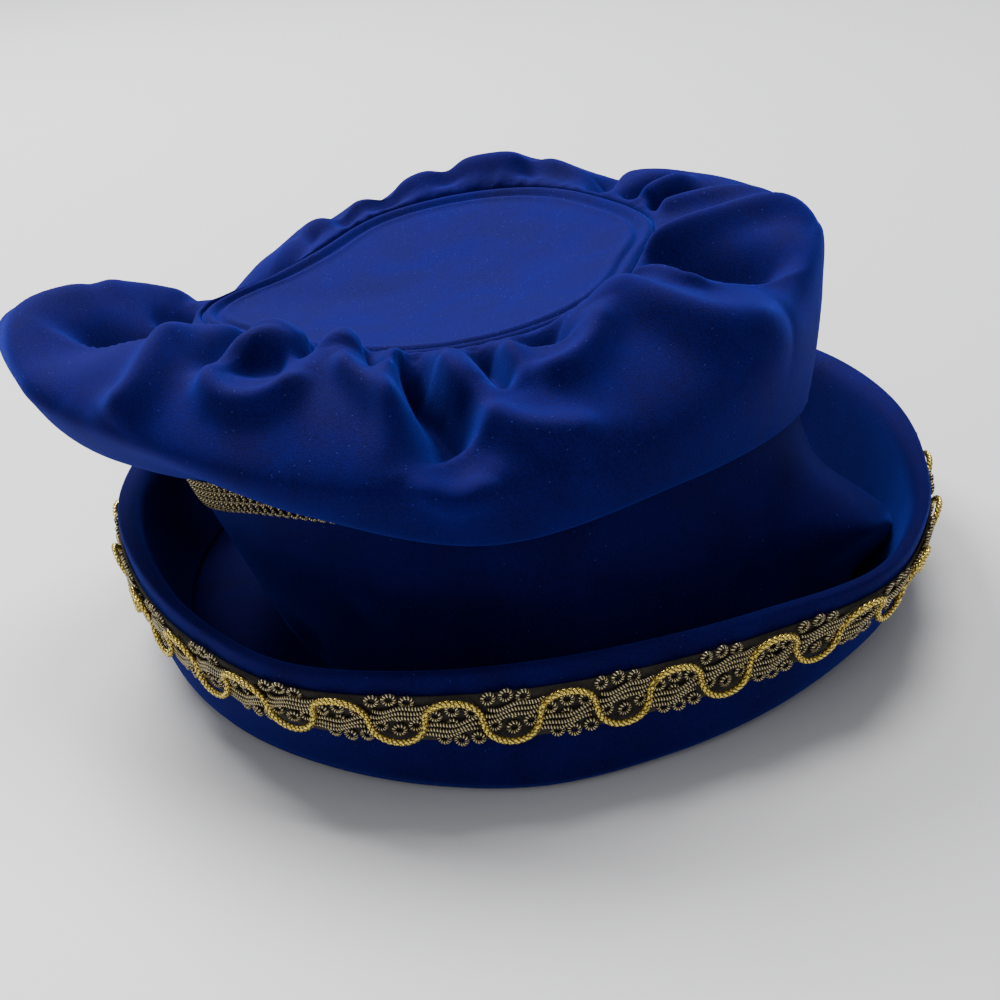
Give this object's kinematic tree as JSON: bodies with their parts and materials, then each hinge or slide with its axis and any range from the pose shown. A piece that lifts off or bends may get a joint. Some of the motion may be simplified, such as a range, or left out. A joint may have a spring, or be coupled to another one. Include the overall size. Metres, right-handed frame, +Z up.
{
  "type": "gathered velvet cap with a turned up brim",
  "caption": "Soft velvet cap with a flat round tip, a gathered slouching crown, a leaning side band and a padded turned-up brim edged with braid.",
  "frame": {"origin": "the middle of the cap's box at the level of the table that the brim rests on", "axes": "+Z up, -Y towards the front of the picture's view, -X to the side that the crown slouches to"},
  "size_m": [0.2843, 0.2578, 0.1195],
  "materials": {
    "velvet": "deep royal blue cotton velvet, short upright nap, bright at grazing angles",
    "looped_braid": "narrow braid of looped metallic thread, gold on black",
    "gimp_braid": "scalloped gimp braid of black thread wound with gold",
    "gold_cord": "plaited metallic gold cord, bright"
  },
  "bodies": {
    "root": {"tip": "velvet", "puff": "velvet", "stand": "velvet", "crown_band": "looped_braid", "brim": "velvet", "brim_braid": "gimp_braid", "scroll_cord": "gold_cord"}
  },
  "joints": []
}
